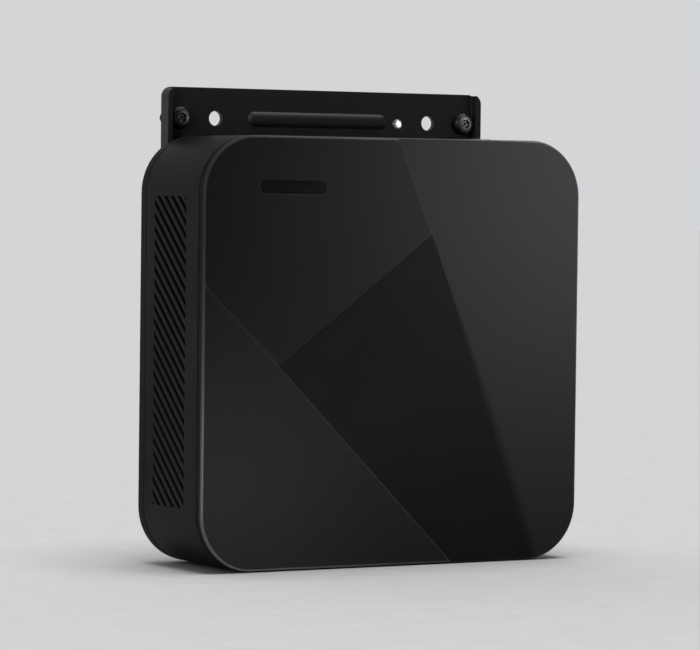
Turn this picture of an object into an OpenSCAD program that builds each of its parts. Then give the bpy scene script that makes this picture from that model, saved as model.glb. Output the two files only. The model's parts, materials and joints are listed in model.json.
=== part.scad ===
// Mini computer hanging on its wall/display bracket.
// Frame: origin at the centre of the bracket's 100 mm bolt square, on the face that meets the
// display.  +Y points into the display, +Z is up, the faceted cover faces -Y.
// The computer itself is drawn lying on its base (base face at z = 0, front ports towards +Y,
// cover upwards) and unit() hangs it on the bracket.  All sizes are millimetres.

/* [Body] */
// Width of the computer
body_w = 130; // [129:0.5:133]
// Height of the computer as it hangs, from rear ports to front ports
body_h = 127; // [126:0.5:130]
// Thickness from the base face to the rim of the cover
body_t = 40.8; // [40.6:0.2:43]
// Radius of the four big corners
corner_r = 17; // [16.5:0.5:18]
// Wall thickness of the housing
wall = 2.4; // [2.2:0.1:2.5]
// Height of the base pan's side wall
pan_h = 5; // [4.6:0.2:5.4]

/* [Cover] */
// Thickness of the cover's visible rim
rim_t = 1.9; // [1.7:0.1:2.2]
// Shadow gap between cover and housing
gap = 0.6; // [0.4:0.1:0.8]
// Bevel round the front of the rim
bevel = 0.7; // [0.4:0.1:0.9]
// Slope of the right-hand facet, down towards its ridge
side_slope = 0.32; // [0.2:0.02:0.4]
// Slope of the dark facet, down from the right-hand facet
facet_slope = 0.27; // [0.2:0.01:0.4]

/* [Side vents] */
// Distance between slots along the side
slot_pitch = 3.87; // [3.6:0.01:4.4]
// Width of one slot
slot_w = 1.35; // [1:0.05:1.6]
// Angle of the slots from the thickness direction
slot_angle = 42; // [35:1:50]
// Length of the vented band
vent_len = 91; // [80:1:92]
// Lower edge of the vented band, above the base face
vent_low = 10.3; // [10:0.1:12]
// Upper edge of the vented band, above the base face
vent_high = 30.2; // [27:0.1:31]

/* [Bracket] */
// Thickness of the bracket's sheet steel
sheet = 1.6; // [1.4:0.1:1.8]
// Depth of the folded edge, sheet included
lip = 4.6; // [4.2:0.1:4.8]
// Height the computer must be lifted to free its studs
lift = 10; // [10:0.5:12]

/* [Hidden] */

vesa = 100;                 // bolt square of the four fitted screws
vesa_small = 75;            // smaller bolt square, sharing the upper row
back_y = -5.2;              // base face of the hanging computer
unit_z = -19;               // centre of the hanging computer
deck_low = body_t - 5.5;    // underside of the housing's deck
deck_top = body_t - 3.5;
ring_top = body_t - rim_t - gap;
in_w = body_w - 2 * wall;
in_h = body_h - 2 * wall;
in_r = corner_r - wall;
front = body_h / 2;         // outer face of the wall with the front ports
rear = -body_h / 2;
board_low = 9.4;
board_top = 11;
post_xy = [54, 52.5];       // base screw posts
board_xy = [56, 38];        // circuit board posts
foot_xy = [[39, 45], [39, -46]];
stud_xy = [[22, 30], [22, -26]];
fan_xy = [-21, 0];
cpu_xy = [28, 6];
button_xz = [42, 18];
rib_x = -1.9;               // stiffening rib along the bracket's top
rib_len = 49;
rivet_x = 26.3;
fit_gap = 0.05;

// Corner points of the cover's facets, seen from the cover
left_edge_pt = [-65.6, 21.6];
left_pt = [-39.3, -4.1];
low_left_pt = [21.1, -64];
top_edge_pt = [0, 64];
top_pt = [12.5, 34.6];
low_right_pt = [49.7, -64];

// Depth of the right-hand facet, and its common edge with the dark facet
function side_depth(p) = (body_w / 2 - p[0]) * tan(side_slope);
fold = low_right_pt - top_pt;
fold_step = 0.08;
fold_fall = atan((side_depth(top_pt) - side_depth(low_right_pt)) / norm(fold));

function round_over(r, z, n = 5) =
    [for (i = [0 : n]) let (a = 90 * i / n) [r * (1 - cos(a)), z - r + r * sin(a)]];
function round_under(r, z, n = 5) =
    [for (i = [0 : n]) let (a = 90 * i / n) [r * (1 - sin(a)), z + r * (1 - cos(a))]];

// Hangs the computer: its front ports point up and its cover faces -Y.
module unit() {
    translate([0, back_y, unit_z]) rotate([90, 0, 0]) children();
}

// Rounded rectangle with true corner arcs.
module rrect(w, h, r) {
    square([w - 2 * r, h], center = true);
    square([w, h - 2 * r], center = true);
    for (sx = [-1, 1], sy = [-1, 1])
        translate([sx * (w / 2 - r), sy * (h / 2 - r)]) circle(r, $fn = 64);
}

module plate(w, h, r, z_low, z_high) {
    translate([0, 0, z_low]) linear_extrude(z_high - z_low) rrect(w, h, r);
}

// Slab with round corners whose edge follows a profile of [inset, height] points.
module slab(w, h, r, profile) {
    top = len(profile) - 1;
    z_low = profile[0][1];
    z_high = profile[top][1];
    translate([-(w / 2 - r), 0, 0]) rotate([90, 0, 90]) linear_extrude(w - 2 * r)
        polygon(concat([for (p = profile) [h / 2 - p[0], p[1]]],
                       [for (i = [top : -1 : 0]) [profile[i][0] - h / 2, profile[i][1]]]));
    translate([0, h / 2 - r, 0]) rotate([90, 0, 0]) linear_extrude(h - 2 * r)
        polygon(concat([for (p = profile) [w / 2 - p[0], p[1]]],
                       [for (i = [top : -1 : 0]) [profile[i][0] - w / 2, profile[i][1]]]));
    for (sx = [-1, 1], sy = [-1, 1])
        translate([sx * (w / 2 - r), sy * (h / 2 - r), 0]) rotate_extrude($fn = 72)
            polygon(concat([[0, z_low]], [for (p = profile) [r - p[0], p[1]]], [[0, z_high]]));
}

module four(xy) {
    for (sx = [-1, 1], sy = [-1, 1]) translate([sx * xy[0], sy * xy[1], 0]) children();
}

module rod(r, z_low, z_high) {
    translate([0, 0, z_low]) cylinder(r = r, h = z_high - z_low, $fn = 48);
}

module block(x, y, z) {
    translate([x[0], y[0], z[0]]) cube([x[1] - x[0], y[1] - y[0], z[1] - z[0]]);
}

// Flat run of a lead along a list of points, at one height.
module lead(points, w, z_low, z_high) {
    translate([0, 0, z_low]) linear_extrude(z_high - z_low) {
        for (i = [0 : len(points) - 2]) {
            step = points[i + 1] - points[i];
            translate(points[i]) rotate([0, 0, atan2(step[1], step[0])])
                translate([0, -w / 2]) square([norm(step), w]);
        }
        for (p = points) translate(p) circle(w * 0.6, $fn = 24);
    }
}

// ---------------------------------------------------------------- bracket

// Keyhole with the stud's neck resting at the bottom of its narrow end.
module keyhole() {
    seat = 0.28;
    rotate([90, 0, 0]) {
        translate([0, seat, 0]) rod(2.3, -1, lip + 1);
        translate([0, lift, 0]) rod(4.7, -1, lip + 1);
        block([-2.3, 2.3], [seat, lift], [-1, lip + 1]);
    }
}

// Pressed stiffening bead with round ends, standing proud of the sheet's front.
module bead(length, width, proud, z_low) {
    half = width / 2;
    r = (half * half + proud * proud) / (2 * proud);
    intersection() {
        translate([0, 0, z_low + proud - r]) {
            rotate([0, 90, 0]) cylinder(r = r, h = length - width, center = true, $fn = 64);
            for (sx = [-1, 1]) translate([sx * (length - width) / 2, 0, 0]) sphere(r = r, $fn = 64);
        }
        block([-length / 2 - r, length / 2 + r], [-half - 1, half + 1], [z_low - 0.8, z_low + 2]);
    }
}

module vesa_bracket() {
    half_w = 55.2;
    top = 59.2;
    low = -57;
    mid = (top + low) / 2;
    tall = top - low;
    stud_z = [for (p = stud_xy) p[1] + unit_z];
    color("#16171a") difference() {
        union() {
            translate([0, 0, mid]) rotate([90, 0, 0]) plate(2 * half_w, tall, 3, 0, sheet);
            difference() {
                translate([0, 0, mid]) rotate([90, 0, 0]) plate(2 * half_w, tall, 3, 0, lip);
                translate([0, 0, mid]) rotate([90, 0, 0])
                    plate(2 * (half_w - sheet), tall + 10, 1.4, -1, lip + 1);
            }
            for (sx = [-1, 1], z = stud_z) translate([sx * stud_xy[0][0], 0, z + 5])
                rotate([90, 0, 0]) plate(16, 24, 4, 0, lip - 0.5);
            translate([rib_x, 0, vesa / 2]) rotate([90, 0, 0]) bead(rib_len, 4.6, 1, sheet);
        }
        for (sx = [-1, 1], z = stud_z) translate([sx * stud_xy[0][0], 0, z]) {
            translate([0, 0, 5]) rotate([90, 0, 0]) plate(12.8, 20.8, 2.4, -1, lip - 2.1);
            keyhole();
        }
        for (sx = [-1, 1], z = [-vesa / 2, vesa / 2])
            translate([sx * vesa / 2, 0, z]) rotate([90, 0, 0]) rod(2.25, -1, lip + 1);
        for (sx = [-1, 1], z = [vesa / 2, vesa / 2 - vesa_small])
            translate([sx * vesa_small / 2, 0, z]) rotate([90, 0, 0]) rod(2.25, -1, lip + 1);
        translate([rivet_x, 0, vesa / 2 - 0.6]) rotate([90, 0, 0]) rod(1.25, -1, lip);
    }
}

module bracket_rivet() {
    color("#c9ccd0") translate([rivet_x, 0, vesa / 2 - 0.6]) rotate([90, 0, 0])
        rotate_extrude($fn = 40)
            polygon([[0, 0.1], [1.2, 0.1], [1.2, sheet], [1.7, sheet], [1.5, sheet + 0.6],
                     [0.9, sheet + 0.9], [0, sheet + 1]]);
}

module vesa_screws() {
    color("#b9bcc0") for (sx = [-1, 1], sz = [-1, 1])
        translate([sx * vesa / 2, 0, sz * vesa / 2]) rotate([90, 0, 0]) difference() {
            union() {
                rod(2, -8, 0);
                rod(1.65, -0.5, sheet + 0.1);
                translate([0, 0, sheet]) rotate_extrude($fn = 48)
                    polygon([[0, 0], [3.5, 0], [3.5, 1.2], [3.1, 1.8], [2.2, 2.3], [0, 2.5]]);
            }
            for (a = [0, 90]) rotate([0, 0, a + 20])
                block([-1.9, 1.9], [-0.35, 0.35], [sheet + 0.9, sheet + 4]);
        }
}

// ---------------------------------------------------------------- casing

module groove(from, to) {
    step = to - from;
    side = 0.5;
    translate([from[0], from[1], body_t]) rotate([0, 0, atan2(step[1], step[0])])
        rotate([45, 0, 0]) block([0, norm(step)], [-side / 2, side / 2], [-side / 2, side / 2]);
}

module faceted_cover() {
    color("#2b2c30") unit() difference() {
        union() {
            slab(body_w, body_h, corner_r,
                 [[0, body_t - rim_t], [0, body_t - bevel], [bevel * 0.35, body_t - bevel * 0.3],
                  [bevel, body_t]]);
            plate(in_w - 0.4, in_h - 0.4, in_r - 0.2, deck_top + 0.02, body_t - rim_t);
            four([48, 20]) rod(1.8, deck_low - 0.9, deck_top + 0.1);
        }
        intersection() {
            translate([0, 0, body_t - 5]) linear_extrude(10)
                polygon([left_pt, low_left_pt, low_right_pt, top_pt]);
            translate([top_pt[0], top_pt[1], body_t - side_depth(top_pt) - fold_step])
                rotate([0, 0, atan2(fold[1], fold[0])]) rotate([0, -fold_fall, 0])
                    rotate([facet_slope, 0, 0]) block([-60, 140], [-90, 10], [0, 12]);
        }
        intersection() {
            translate([0, 0, body_t - 5]) linear_extrude(10)
                polygon([top_edge_pt, top_pt, low_right_pt, [80, -64], [80, 64]]);
            translate([body_w / 2, 0, body_t]) rotate([0, -side_slope, 0])
                block([-120, 20], [-80, 80], [0, 12]);
        }
        groove(left_edge_pt, left_pt + [0.6, -0.35]);
        translate([-35.4, 48.6, 0]) plate(22.5, 4.1, 2, body_t - 0.5, body_t + 1);
    }
}

module cover_badge() {
    color("#101114") unit() translate([-35.4, 48.6, 0])
        slab(22.4, 4, 1.95, [[0, body_t - 0.5], [0, body_t - 0.1], [0.1, body_t]]);
}

module side_vents() {
    reach = 60;
    count = 16;
    for (side = [-1, 1]) intersection() {
        block(side < 0 ? [-body_w / 2 - 1, -body_w / 2 + wall + 1] :
                         [body_w / 2 - wall - 1, body_w / 2 + 1],
              [-vent_len / 2, vent_len / 2], [vent_low, vent_high]);
        for (i = [-count : count])
            translate([side * (body_w / 2 - wall / 2), i * slot_pitch, (vent_low + vent_high) / 2])
                rotate([slot_angle, 0, 0])
                    cube([wall + 4, slot_w, reach], center = true);
    }
}

module front_openings() {
    y = [front - wall - 1, front + 1];
    through = [y[0], y[1]];
    block([-46.2, -19.8], through, [10.9, 14.5]);
    translate([-16.5, 0, 13]) rotate([-90, 0, 0]) rod(0.95, y[0], y[1]);
    translate([-9.5, 0, 14.4]) rotate([-90, 0, 0]) rod(3.15, y[0], y[1]);
    block([-4, 5.6], through, [11.6, 15.4]);
    for (x = [14, 28.8]) block([x - 6.9, x + 6.9], through, [10.9, 17.3]);
    translate([button_xz[0], 0, button_xz[1]]) rotate([-90, 0, 0]) rod(5.75, y[0], y[1]);
}

module main_housing() {
    color("#222326") unit() difference() {
        union() {
            difference() {
                slab(body_w, body_h, corner_r,
                     concat([[0.4, pan_h], [0, pan_h + 0.4]], round_over(0.9, ring_top)));
                plate(in_w, in_h, in_r, pan_h - 1, deck_low);
                plate(in_w, in_h, in_r, deck_top, ring_top + 1);
            }
            four(post_xy) rod(3.5, 2 + fit_gap, deck_low + 0.1);
            four(board_xy) rod(3, board_top, deck_low + 0.1);
        }
        side_vents();
        front_openings();
        block([-47.2, 47.2], [rear - 1, rear + wall + 0.01], [10.2, 27.8]);
        block([34.5, 41.5], [rear - 1, rear + wall + 1], [30.2, 33.2]);
        four(post_xy) rod(1.5, 0, 15);
        four(board_xy) rod(1.25, 0, 20);
        four([48, 20]) rod(1.9, deck_low - 3, deck_top + 1);
        for (sx = [-1, 1], p = ear_xy) translate([sx * p[0], p[1], 0])
            rod(1.1, deck_low - 3, deck_low + 1.6);
    }
}

module base_pan() {
    floor_t = 2;
    color("#1d1e21") unit() difference() {
        union() {
            difference() {
                slab(body_w, body_h, corner_r,
                     concat(round_under(2, 0), [[0, pan_h - 0.4], [0.4, pan_h]]));
                plate(in_w - 2, in_h - 2, in_r - 1, floor_t, pan_h + 1);
            }
            difference() {
                plate(in_w - 0.24, in_h - 0.24, in_r - 0.12, pan_h - 1, pan_h + 1.4);
                plate(in_w - 2, in_h - 2, in_r - 1, floor_t, pan_h + 2);
            }
        }
        four(post_xy) {
            rod(3, -1, 1.2);
            rod(1.6, -1, 3);
        }
        for (sx = [-1, 1], p = foot_xy) translate([sx * p[0], p[1], 0]) rod(6.6, -1, 0.5);
        for (sx = [-1, 1], p = stud_xy) translate([sx * p[0], p[1], 0]) {
            rod(2.05, -1, 3);
            rod(3.45, 1, 3);
        }
        for (i = [-6 : 6]) translate([i * 4, 2, 0]) {
            block([-0.9, 0.9], [-16, 16], [-1, 3]);
            for (sy = [-1, 1]) translate([0, sy * 16, 0]) rod(0.9, -1, 3);
        }
    }
}

module base_screws() {
    color("#8d9095") unit() four(post_xy) difference() {
        union() {
            rod(1.45, 1.2, 12);
            rod(2.75, 0.15, 1.2);
        }
        for (a = [0, 90]) rotate([0, 0, a]) block([-1.6, 1.6], [-0.3, 0.3], [-1, 0.85]);
    }
}

module rubber_feet() {
    color("#131315") unit() for (sx = [-1, 1], p = foot_xy) translate([sx * p[0], p[1], 0])
        rotate_extrude($fn = 64)
            polygon([[0, -1.5], [5.4, -1.5], [6.1, -1.2], [6.5, -0.5], [6.5, 0.5], [0, 0.5]]);
}

module hanger_studs() {
    color("#a5a8ac") unit() for (sx = [-1, 1], p = stud_xy) translate([sx * p[0], p[1], 0])
        rotate_extrude($fn = 48)
            polygon([[0, -4.7], [3.7, -4.7], [4, -4.4], [4, -2.9], [2, -2.9], [2, 1], [3.4, 1],
                     [3.4, 2], [0, 2]]);
}

// ---------------------------------------------------------------- rear ports

dc_x = -42.5;
hdmi_x = -29.2;
dp_x = -12.2;
lan_x = 5.5;
usb_x = [22.2, 38.2];
usb_z = [14.1, 22];
port_y = rear + 0.7;        // mouth of the rear ports

module rear_io_plate() {
    y = [rear + wall, rear + wall + 0.8];
    cut = [y[0] - 1, y[1] + 1];
    color("#9da0a4") unit() difference() {
        block([-48, 48], y, [9.9, 28.4]);
        translate([dc_x, 0, 17]) rotate([-90, 0, 0]) rod(4, cut[0], cut[1]);
        block([hdmi_x - 7.5, hdmi_x + 7.5], cut, [10.8, 17]);
        block([dp_x - 8.3, dp_x + 8.3], cut, [10.8, 17.2]);
        block([lan_x - 8.2, lan_x + 8.2], cut, [10.8, 24.8]);
        for (x = usb_x) block([x - 7.3, x + 7.3], cut, [10.8, 26.8]);
        for (x = [-34 : 4 : -6]) block([x - 1, x + 1], cut, [19.5, 26]);
    }
}

module lock_plate() {
    y = [rear + wall, rear + wall + 1.2];
    color("#8f9296") unit() difference() {
        block([31, 45], y, [29, 34.6]);
        block([34.5, 41.5], [y[0] - 1, y[1] + 1], [30.2, 33.2]);
    }
}

module dc_jack() {
    color("#17181a") unit() difference() {
        union() {
            block([dc_x - 4.5, dc_x + 4.5], [rear + 4, rear + 16], [board_top, 22]);
            translate([dc_x, 0, 17]) rotate([-90, 0, 0]) rod(3.8, port_y, rear + 5);
        }
        difference() {
            translate([dc_x, 0, 17]) rotate([-90, 0, 0]) rod(2.8, port_y - 1, rear + 11);
            translate([dc_x, 0, 17]) rotate([-90, 0, 0]) rod(0.85, port_y + 0.5, rear + 12);
        }
    }
}

module hdmi_port() {
    x = hdmi_x;
    z = 13.8;
    mouth = [[-7, 2.2], [7, 2.2], [7, -0.4], [5.3, -2.2], [-5.3, -2.2], [-7, -0.4]];
    color("#b4b7ba") unit() {
        difference() {
            block([x - 7.3, x + 7.3], [port_y, port_y + 12], [board_top, board_top + 5.6]);
            translate([x, port_y + 10, z]) rotate([90, 0, 0]) linear_extrude(12) polygon(mouth);
        }
        block([x - 5.4, x + 5.4], [port_y + 2, port_y + 10], [z + 0.2, z + 1.2]);
    }
}

module display_port() {
    x = dp_x;
    z = 13.9;
    mouth = [[-7.8, 2.3], [7.8, 2.3], [7.8, -2.3], [-6, -2.3], [-7.8, -0.6]];
    color("#b4b7ba") unit() {
        difference() {
            block([x - 8.1, x + 8.1], [port_y, port_y + 13], [board_top, board_top + 5.8]);
            translate([x, port_y + 11, z]) rotate([90, 0, 0]) linear_extrude(13) polygon(mouth);
        }
        block([x - 5.8, x + 5.8], [port_y + 2, port_y + 11], [z - 0.5, z + 0.5]);
    }
}

module lan_port() {
    x = lan_x;
    color("#b4b7ba") unit() difference() {
        block([x - 8, x + 8], [port_y, port_y + 16], [board_top, 24.6]);
        block([x - 5.9, x + 5.9], [port_y - 1, port_y + 13], [14.6, 22.6]);
        block([x - 3.2, x + 3.2], [port_y - 1, port_y + 13], [13.1, 15]);
        block([x - 1.7, x + 1.7], [port_y - 1, port_y + 11], [11.9, 13.5]);
        for (sx = [-1, 1]) block([x + sx * 5.9 - 1.6, x + sx * 5.9 + 1.6], [port_y - 1, port_y + 2],
                                 [11.7, 13.7]);
    }
}

module lan_lights() {
    color("#c8d46a") unit() for (sx = [-1, 1])
        block([lan_x + sx * 5.9 - 1.55, lan_x + sx * 5.9 + 1.55], [port_y + 0.1, port_y + 1.95],
              [11.75, 13.65]);
}

// One USB-A mouth: the hollow of the shell.
module usb_hollow(x, y, z, deep) {
    block([x - 6.3, x + 6.3], [min(y, y + deep), max(y, y + deep)], [z - 2.5, z + 2.5]);
}

module usb_stacks() {
    color("#b4b7ba") unit() for (x = usb_x) difference() {
        block([x - 7.1, x + 7.1], [port_y, port_y + 17], [board_top, 26.6]);
        for (z = usb_z) usb_hollow(x, port_y - 1, z, 12);
    }
}

front_usb_x = [14, 28.8];
front_y = front - 0.6;      // mouth of the front ports

module usb_front_ports() {
    color("#b4b7ba") unit() for (x = front_usb_x) difference() {
        block([x - 6.7, x + 6.7], [front_y - 14, front_y], [board_top, 17.1]);
        usb_hollow(x, front_y + 1, 14.05, -12);
    }
}

module usb_tongues() {
    color("#2f6fc4") unit() {
        for (x = usb_x, z = usb_z)
            block([x - 5.6, x + 5.6], [port_y + 1.2, port_y + 11], [z + 0.2, z + 2]);
        for (x = front_usb_x)
            block([x - 5.6, x + 5.6], [front_y - 11, front_y - 1.2], [14.25, 16.05]);
    }
}

// ---------------------------------------------------------------- front ports

module obround(w, h) {
    square([w - h, h], center = true);
    for (sx = [-1, 1]) translate([sx * (w - h) / 2, 0]) circle(h / 2, $fn = 40);
}

module usb_c_port() {
    color("#b4b7ba") unit() translate([0.8, 0, 13.5]) rotate([-90, 0, 0]) {
        difference() {
            translate([0, 0, front_y - 9]) linear_extrude(9) obround(9, 3.3);
            translate([0, 0, front_y - 8]) linear_extrude(9) obround(8.3, 2.6);
        }
        translate([0, 0, front_y - 8]) linear_extrude(6.6) square([6.6, 0.7], center = true);
        translate([0, 0, front_y - 9]) linear_extrude(2) difference() {
            translate([0, 1.7]) square([8.8, 1.6], center = true);
            obround(9, 3.3);
        }
    }
}

module audio_jack() {
    color("#141517") unit() difference() {
        union() {
            block([-13, -6], [front_y - 14, front - wall - 0.1], [board_top, 17.8]);
            translate([-9.5, 0, 14.4]) rotate([-90, 0, 0]) rod(3.05, front - wall - 0.2, front_y);
        }
        translate([-9.5, 0, 14.4]) rotate([-90, 0, 0]) rod(1.8, front_y - 12.6, front_y + 1);
    }
}

module card_reader() {
    color("#a9acb0") unit() difference() {
        block([-46, -20], [front_y - 20, front_y], [board_top, 14.4]);
        block([-45.2, -20.8], [front_y - 18.5, front_y + 1], [11.5, 13.9]);
    }
}

module power_button() {
    travel_side = 57;
    seat = front - wall - 0.02;
    color("#2a2b2f") unit() translate([button_xz[0], 0, button_xz[1]]) rotate([-90, 0, 0]) {
        rotate_extrude($fn = 64)
            polygon([[0, travel_side], [1.6, travel_side], [1.6, front - 3.2], [5.3, front - 3.2],
                     [5.3, seat], [4.6, seat], [4.6, front + 0.2], [4.3, front + 0.5],
                     [2.2, front + 0.42], [0, front + 0.34]]);
    }
}

module power_light_ring() {
    color("#d9dde2") unit() translate([button_xz[0], 0, button_xz[1]]) rotate([-90, 0, 0])
        difference() {
            rod(5.7, front - wall, front);
            rod(4.75, front - wall - 1, front + 1);
        }
}

module power_switch() {
    color("#1a1b1d") unit() {
        block([38, 46], [50, 54.6], [board_top, 21.5]);
        translate([button_xz[0], 0, button_xz[1]]) rotate([-90, 0, 0]) rod(1.5, 54.6, 56);
    }
}

module status_lens() {
    color("#cfe3ff") unit() translate([-16.5, 0, 13]) rotate([-90, 0, 0])
        rod(0.9, front - 6, front - 0.1);
}

// ---------------------------------------------------------------- circuit board

module motherboard() {
    low = -60.2;
    high = 58.5;
    color("#1c4a33") unit() difference() {
        translate([0, (low + high) / 2, 0]) plate(120, high - low, 12, board_low, board_top);
        four(post_xy) rod(5, 0, 20);
        four(board_xy) rod(1.6, 0, 20);
        translate([cpu_xy[0], cpu_xy[1], 0]) four([15, 15]) rod(1.3, 0, 20);
        block([button_xz[0] - 6.5, button_xz[0] + 6.5], [56.5, 60], [0, 20]);
    }
}

module board_screws() {
    color("#8d9095") unit() four(board_xy) {
        rod(1.2, board_low - 0.1, 18);
        difference() {
            rod(2.6, board_low - 1.8, board_low);
            for (a = [0, 90]) rotate([0, 0, a]) block([-1.5, 1.5], [-0.3, 0.3], [0, board_low - 1]);
        }
    }
}

module cpu_package() {
    color("#2f5d3a") unit() translate([cpu_xy[0], cpu_xy[1], 0]) {
        block([-13, 13], [-11, 11], [board_top, 12.2]);
        block([-6, 6], [-4.5, 4.5], [12.2, 13]);
    }
}

module heat_spreader() {
    color("#b87333") unit() translate([cpu_xy[0], cpu_xy[1], 0]) difference() {
        plate(36, 36, 3, 13, 15);
        four([15, 15]) rod(1.3, 0, 20);
    }
}

module spreader_screws() {
    color("#8d9095") unit() translate([cpu_xy[0], cpu_xy[1], 0]) four([15, 15]) {
        rod(1.2, board_low, 15.1);
        difference() {
            rod(2.3, 15, 16.8);
            block([-1.6, 1.6], [-0.3, 0.3], [16, 20]);
        }
    }
}

// Quarter of a flat ring about the origin, in the quadrant given by sx, sy.
module quarter(r_mid, w, sx, sy) {
    intersection() {
        difference() {
            circle(r_mid + w / 2, $fn = 64);
            circle(r_mid - w / 2, $fn = 64);
        }
        translate([sx < 0 ? -40 : 0, sy < 0 ? -40 : 0]) square(40);
    }
}

module heat_pipe() {
    bend = 8;
    w = 7;
    run_y = 33;
    left_x = -56.8;
    right_x = cpu_xy[0];
    color("#c07d43") unit() translate([0, 0, 15]) linear_extrude(3) {
        translate([right_x, -10]) circle(w / 2, $fn = 48);
        translate([right_x - w / 2, -10]) square([w, run_y - bend + 10]);
        translate([right_x - bend, run_y - bend]) quarter(bend, w, 1, 1);
        translate([left_x + bend, run_y - w / 2]) square([right_x - left_x - 2 * bend, w]);
        translate([left_x + bend, run_y - bend]) quarter(bend, w, -1, 1);
        translate([left_x - w / 2, -24]) square([w, run_y - bend + 24]);
        translate([left_x, -24]) circle(w / 2, $fn = 48);
    }
}

module fin_stack() {
    x = [-61.8, -52.2];
    half = 28;
    pitch = 2;
    color("#c4c7ca") unit() for (z = [[12.4, 14.95], [18.05, 26]]) {
        for (zz = [z[0], z[1] - 0.4]) block(x, [-half, half], [zz, zz + 0.4]);
        for (i = [-14 : 14])
            block(x, [i * pitch - 0.2 * (i == 14 ? 2 : i == -14 ? 0 : 1),
                      i * pitch + 0.2 * (i == 14 ? 0 : i == -14 ? 2 : 1)], z);
    }
}

module blower_housing() {
    x = [-51.6, 7];
    y = [-29, 29];
    color("#26272a") unit() difference() {
        union() {
            difference() {
                translate([(x[0] + x[1]) / 2, 0, 0]) plate(x[1] - x[0], y[1] - y[0], 6, 12.4, 25);
                translate([fan_xy[0], fan_xy[1], 0]) rod(25.8, 13.4, 24.2);
                block([x[0] - 1, fan_xy[0]], [-25.8, 27.4], [13.4, 24.2]);
            }
            translate([fan_xy[0], fan_xy[1], 0]) rod(4.2, 12.4, 19);
        }
        translate([fan_xy[0], fan_xy[1], 0]) {
            rod(2.65, 13.4, 20);
            rod(17, 24, 26);
            for (a = [0 : 60 : 300]) rotate([0, 0, a + 15]) translate([14, 0, 0]) rod(3.4, 12, 14);
        }
    }
}

module fan_bearing() {
    color("#a9803f") unit() translate([fan_xy[0], fan_xy[1], 0]) difference() {
        rod(2.6, 13.4, 18.8);
        rod(1.54, 13, 20);
    }
}

module blower_rotor() {
    blades = 27;
    color("#33353a") unit() translate([fan_xy[0], fan_xy[1], 0]) {
        rod(1.5, 13.6, 22.6);
        difference() {
            rod(10, 16, 24);
            rod(9, 15, 22.5);
        }
        intersection() {
            difference() {
                rod(24.6, 15.2, 23.8);
                rod(9.8, 14, 25);
            }
            for (i = [0 : blades - 1]) rotate([0, 0, i * 360 / blades]) translate([8, 0, 15])
                rotate([0, 0, 24]) block([0, 22], [-0.35, 0.35], [0, 10]);
        }
    }
}

module fan_stator() {
    color("#9b6a3a") unit() translate([fan_xy[0], fan_xy[1], 0]) difference() {
        union() {
            rod(5, 14, 21.6);
            for (a = [0 : 40 : 320]) rotate([0, 0, a]) {
                block([4, 8.6], [-0.9, 0.9], [14.6, 21]);
                intersection() {
                    block([7.4, 9], [-2.3, 2.3], [15, 20.6]);
                    rod(8.6, 14, 22);
                }
            }
        }
        rod(4.25, 13, 23);
    }
}

module fan_lead() {
    color("#1a1a1c") unit() {
        block([9, 15], [25, 28.8], [board_top, 14.4]);
        for (y = [25.9, 26.9, 27.9]) translate([0, y, 13.6]) rotate([0, 90, 0]) rod(0.4, 7.05, 9.1);
    }
}

module power_stage() {
    color("#4a4c50") unit() {
        for (x = [12 : 8.6 : 48]) block([x - 3.4, x + 3.4], [-21.5, -14.7], [board_top, 15]);
        for (x = [12 : 8.6 : 48]) translate([x, -27.4, 0]) rod(2.6, board_top, 17);
    }
}

mem_y = [44, 8];            // contact edge of each memory module
mem_x = -8;

module memory_sockets() {
    color("#d8d3c4") unit() for (y = mem_y) difference() {
        block([mem_x - 36, mem_x + 36], [y - 26, y + 5], [4.2, board_low]);
        block([mem_x - 33.9, mem_x + 33.9], [y - 30, y], [3, board_low + 1]);
        block([mem_x - 33.9, mem_x + 33.9], [y - 1, y + 2], [6, 7.4]);
    }
}

module memory_modules() {
    color("#20563b") unit() for (y = mem_y) {
        block([mem_x - 33.8, mem_x + 33.8], [y - 28, y + 1.9], [6.1, 7.3]);
        for (i = [-3, -1, 1, 3]) block([mem_x + i * 8 - 5, mem_x + i * 8 + 5], [y - 21, y - 8],
                                       [5, 6.1]);
    }
}

ssd_y = [-49, -27];

module ssd_socket() {
    color("#27282b") unit() difference() {
        block([-47, -39], ssd_y, [5.4, board_low]);
        block([-42, -38], [ssd_y[0] + 0.9, ssd_y[1] - 0.9], [6.5, 7.4]);
    }
}

module ssd_module() {
    color("#173a5c") unit() difference() {
        union() {
            block([-41.9, 38], [ssd_y[0] + 1, ssd_y[1] - 1], [6.55, 7.35]);
            for (x = [-29, -9, 11]) block([x - 7, x + 7], [ssd_y[0] + 4, ssd_y[1] - 4], [5.2, 6.55]);
        }
        translate([38, -38, 0]) rod(2, 0, 20);
    }
}

module ssd_screw() {
    color("#c9b26a") unit() translate([38, -38, 0]) {
        rod(1.9, 6.5, board_low);
        rod(3, 5.4, 6.5);
    }
}

module wifi_module() {
    color("#bfc3c8") unit() {
        block([40, 52], [27, 43], [board_top, 11.6]);
        block([40.8, 51.2], [27.8, 38.5], [11.6, 12.8]);
        for (x = [43.5, 48.5]) translate([x, 41, 0]) rod(0.9, 11.6, 12.6);
    }
}

module antennas() {
    color("#caa54a") unit() for (sx = [-1, 1])
        block([sx * 34 - 10, sx * 34 + 10], [front - wall - 0.8, front - wall - 0.02], [27.5, 34]);
}

module antenna_leads() {
    y = front - wall - 1.5;
    runs = [[[48.5, 41], [48.5, 47], [34, y]],
            [[43.5, 41], [36, 46], [-34, 46], [-34, y]]];
    color("#3a3b3e") unit() for (run = runs) {
        lead(run, 1.2, 22.6, 23.8);
        translate(run[0]) rod(0.5, 12.65, 23.2);
        translate(run[len(run) - 1]) rod(0.5, 23.2, 30);
    }
}

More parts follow.
